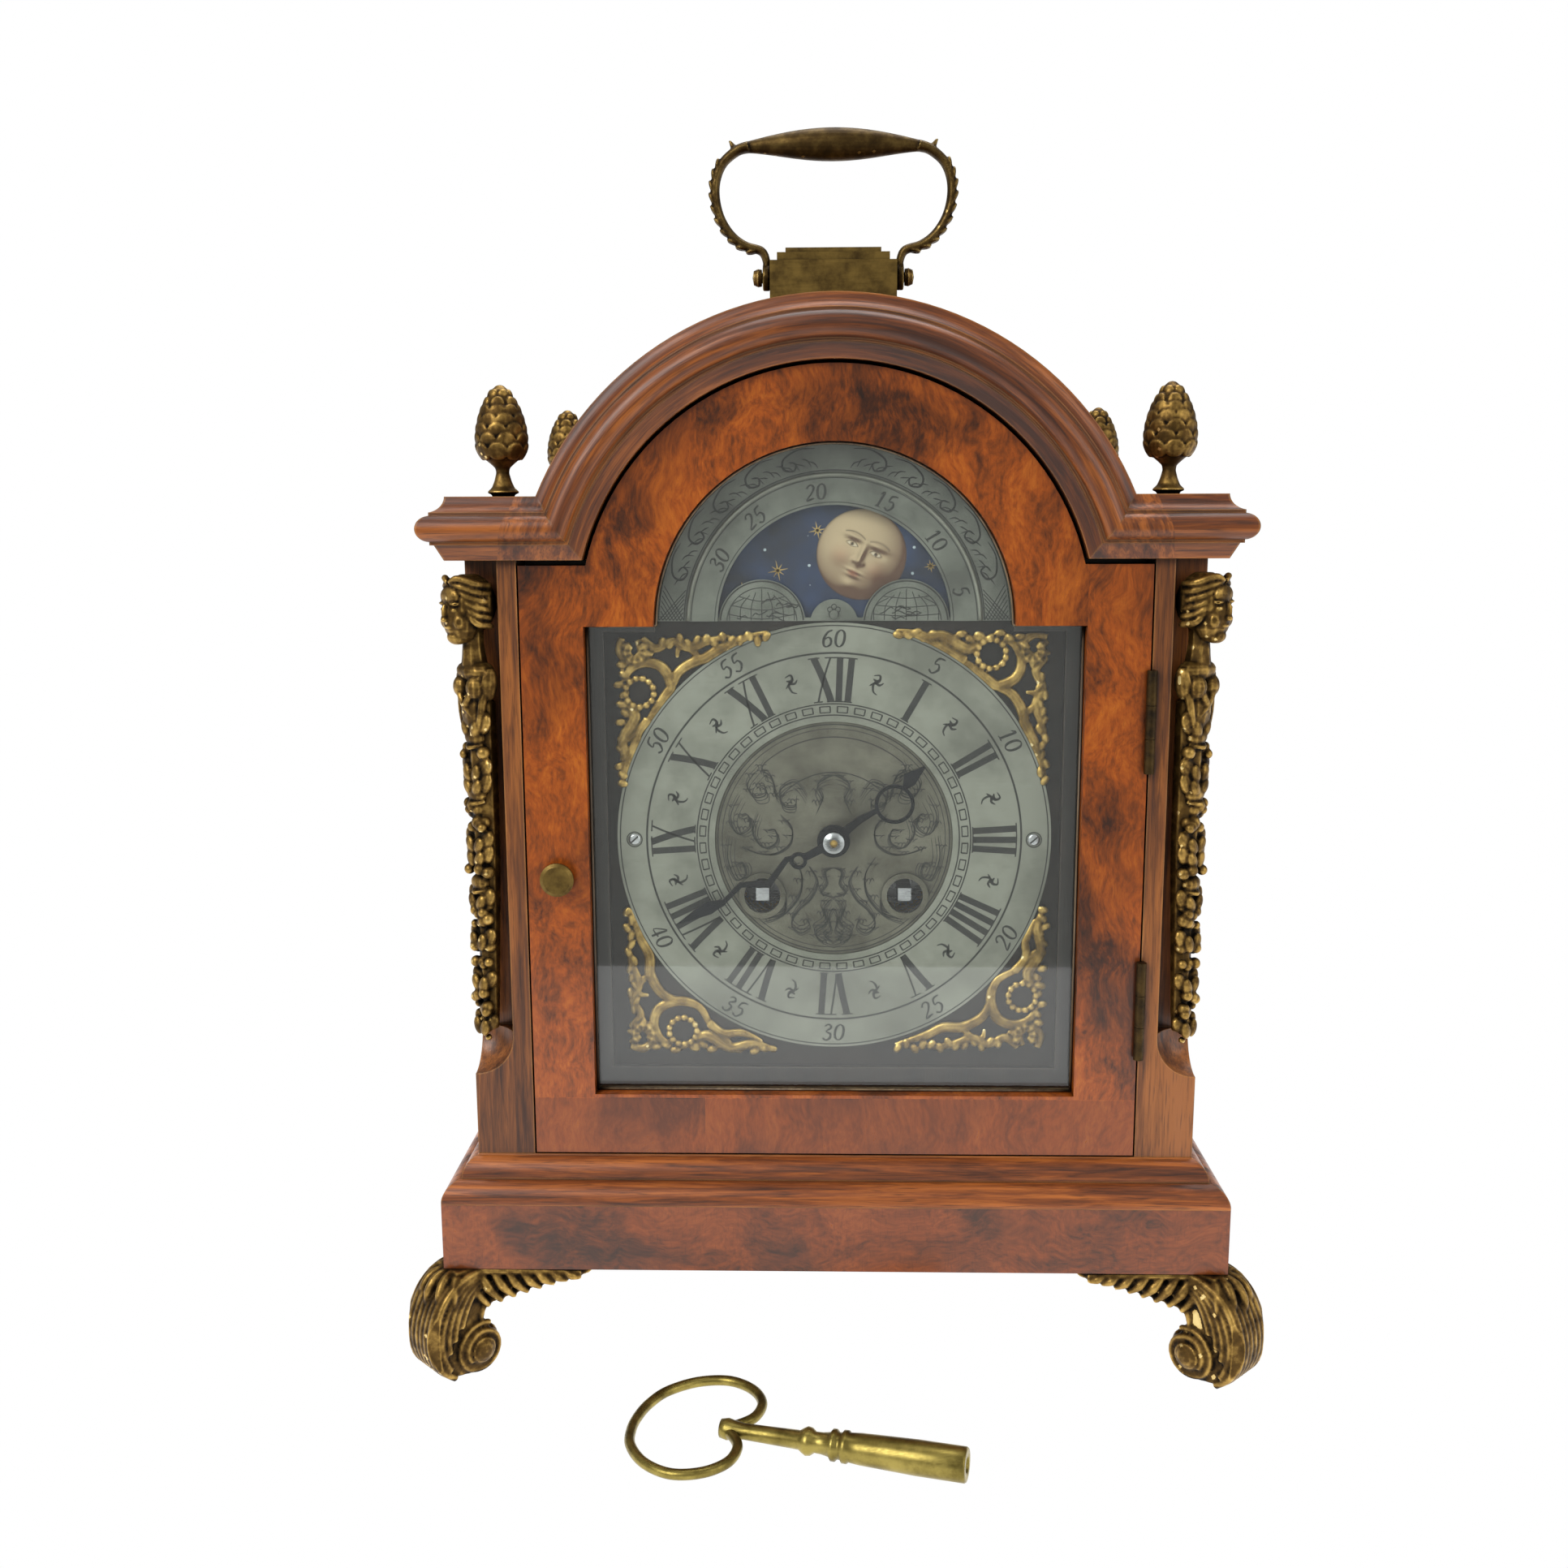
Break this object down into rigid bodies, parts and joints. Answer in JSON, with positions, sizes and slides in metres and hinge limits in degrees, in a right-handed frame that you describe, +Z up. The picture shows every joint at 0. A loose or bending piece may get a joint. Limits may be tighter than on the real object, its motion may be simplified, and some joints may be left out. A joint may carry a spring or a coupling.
{
  "type": "bracket clock",
  "caption": "Break-arch wooden bracket clock on scroll feet with a glazed door, silvered dial with moon phases, spring movement, bell, pendulum, carrying handle and winding key.",
  "frame": {"origin": "On the floor under the middle of the case.", "axes": "X to the right seen from the dial, Y from the dial to the back, Z up."},
  "size_m": [0.259, 0.2352, 0.38],
  "materials": {
    "walnut_veneer": "French polished burr veneer",
    "walnut_moulding": "waxed",
    "inner_wood": "oiled",
    "antique_brass": "patinated",
    "polished_brass": "polished",
    "dial_brass": "dark bronzed",
    "gilt_brass": "gilt",
    "silvered_metal": "silvered and engraved",
    "steel": "polished",
    "blued_steel": "blackened",
    "painted_disc": "satin paint",
    "window_glass": "clear"
  },
  "bodies": {
    "case": {"plinth": "walnut_veneer", "base_moulding": "walnut_moulding", "bottom_board": "inner_wood", "front_post_left": "walnut_moulding", "front_post_right": "walnut_moulding", "side_frame_left": "walnut_moulding", "side_frame_right": "walnut_moulding", "side_glasses": "window_glass", "front_cornice": "walnut_moulding", "side_cornice_left": "walnut_moulding", "side_cornice_right": "walnut_moulding", "roof_arch": "walnut_moulding", "back_board": "inner_wood", "front_hinges_post": "antique_brass", "dial_mask": "inner_wood", "dial_plate": "dial_brass", "arch_plate": "silvered_metal", "chapter_ring": "silvered_metal", "dial_centre": "silvered_metal", "spandrels": "gilt_brass", "front_plate": "polished_brass", "rear_plate": "polished_brass", "bell": "polished_brass", "handle_pad": "antique_brass", "handle_studs": "antique_brass", "finials": "antique_brass", "feet_front": "antique_brass", "feet_rear": "antique_brass", "figure_left": "antique_brass", "figure_right": "antique_brass"},
    "front_door": {"door_frame": "walnut_veneer", "door_glass": "window_glass", "door_bead": "inner_wood", "front_hinges_door": "antique_brass", "door_knob": "antique_brass"},
    "rear_door": {"rear_door_frame": "walnut_moulding", "rear_door_glass": "window_glass", "rear_door_pins": "steel", "rear_door_knob": "antique_brass"},
    "minute_train": {"minute_hand": "blued_steel", "hand_nut": "silvered_metal", "centre_arbor": "polished_brass"},
    "hour_train": {"hour_hand": "blued_steel", "hour_wheel": "polished_brass"},
    "motion_wheel": {"minute_wheel": "polished_brass"},
    "second_arbor": {"second_wheel": "polished_brass"},
    "third_arbor": {"third_wheel": "polished_brass"},
    "escape_arbor": {"escape_wheel": "polished_brass"},
    "going_spring_barrel": {"going_barrel": "polished_brass"},
    "strike_spring_barrel": {"strike_barrel": "polished_brass"},
    "strike_second_arbor": {"strike_wheel": "polished_brass"},
    "going_winding_arbor": {"going_arbor": "steel"},
    "strike_winding_arbor": {"strike_arbor": "steel"},
    "pendulum_body": {"pallets": "steel", "pendulum": "polished_brass"},
    "bell_hammer": {"hammer": "steel"},
    "moon": {"moon_disc": "painted_disc"},
    "carrying_handle": {"handle": "antique_brass"},
    "key": {"winding_key": "polished_brass"}
  },
  "joints": [
    {"name": "front_door_hinge", "type": "hinge", "parent": "case", "child": "front_door", "pos_m": [0.09115, -0.0746, 0.16], "axis": [0, 0, 1], "range_deg": [0, 105]},
    {"name": "rear_door_hinge", "type": "hinge", "parent": "case", "child": "rear_door", "pos_m": [0.106, 0.067, 0.16], "axis": [0, 0, -1], "range_deg": [0, 110]},
    {"name": "handle_pivot", "type": "hinge", "parent": "case", "child": "carrying_handle", "pos_m": [0, 0, 0.3343], "axis": [1, 0, 0], "range_deg": [-100, 100]},
    {"name": "minute_joint", "type": "hinge", "parent": "case", "child": "minute_train", "pos_m": [0, -0.045, 0.1626], "axis": [0, 1, 0], "continuous": true},
    {"name": "hour_joint", "type": "hinge", "parent": "case", "child": "hour_train", "pos_m": [0, -0.05, 0.1626], "axis": [0, 1, 0], "continuous": true},
    {"name": "motion_wheel_joint", "type": "hinge", "parent": "case", "child": "motion_wheel", "pos_m": [0, -0.046, 0.1516], "axis": [0, 1, 0], "continuous": true},
    {"name": "second_arbor_joint", "type": "hinge", "parent": "case", "child": "second_arbor", "pos_m": [-0.01352, -0.01, 0.16756], "axis": [0, 1, 0], "continuous": true},
    {"name": "going_barrel_joint", "type": "hinge", "parent": "case", "child": "going_spring_barrel", "pos_m": [-0.0217, -0.01, 0.1451], "axis": [0, 1, 0], "continuous": true},
    {"name": "third_arbor_joint", "type": "hinge", "parent": "case", "child": "third_arbor", "pos_m": [0.00711, -0.018, 0.17491], "axis": [0, 1, 0], "continuous": true},
    {"name": "escape_arbor_joint", "type": "hinge", "parent": "case", "child": "escape_arbor", "pos_m": [0, -0.012, 0.18604], "axis": [0, 1, 0], "continuous": true},
    {"name": "going_winding_joint", "type": "hinge", "parent": "case", "child": "going_winding_arbor", "pos_m": [-0.0217, -0.042, 0.1451], "axis": [0, 1, 0], "range_deg": [0, 2520]},
    {"name": "strike_winding_joint", "type": "hinge", "parent": "case", "child": "strike_winding_arbor", "pos_m": [0.0217, -0.042, 0.1451], "axis": [0, 1, 0], "range_deg": [0, 2520]},
    {"name": "strike_barrel_joint", "type": "hinge", "parent": "case", "child": "strike_spring_barrel", "pos_m": [0.0217, -0.01, 0.1451], "axis": [0, 1, 0], "continuous": true},
    {"name": "strike_wheel_joint", "type": "hinge", "parent": "case", "child": "strike_second_arbor", "pos_m": [0.03142, -0.01, 0.16694], "axis": [0, 1, 0], "continuous": true},
    {"name": "pendulum_swing", "type": "hinge", "parent": "case", "child": "pendulum_body", "pos_m": [0, 0.008, 0.20254], "axis": [0, 1, 0], "range_deg": [-3, 3]},
    {"name": "hammer_lift", "type": "hinge", "parent": "case", "child": "bell_hammer", "pos_m": [0.03, -0.019, 0.192], "axis": [0, 1, 0], "range_deg": [0, 12]},
    {"name": "moon_joint", "type": "hinge", "parent": "case", "child": "moon", "pos_m": [0, -0.0562, 0.2306], "axis": [0, 1, 0], "continuous": true},
    {"name": "key_lift", "type": "slide", "parent": "case", "child": "key", "axis": [0, 0, 1], "range_m": [0, 0.03]}
  ],
  "couplings": [
    {"joint": "hour_joint", "follows": "minute_joint", "ratio": 0.083333},
    {"joint": "motion_wheel_joint", "follows": "minute_joint", "ratio": -0.33333},
    {"joint": "second_arbor_joint", "follows": "minute_joint", "ratio": -0.2},
    {"joint": "going_barrel_joint", "follows": "minute_joint", "ratio": 0.033333},
    {"joint": "third_arbor_joint", "follows": "minute_joint", "ratio": -11},
    {"joint": "escape_arbor_joint", "follows": "minute_joint", "ratio": 110},
    {"joint": "strike_wheel_joint", "follows": "strike_barrel_joint", "ratio": -6}
  ]
}
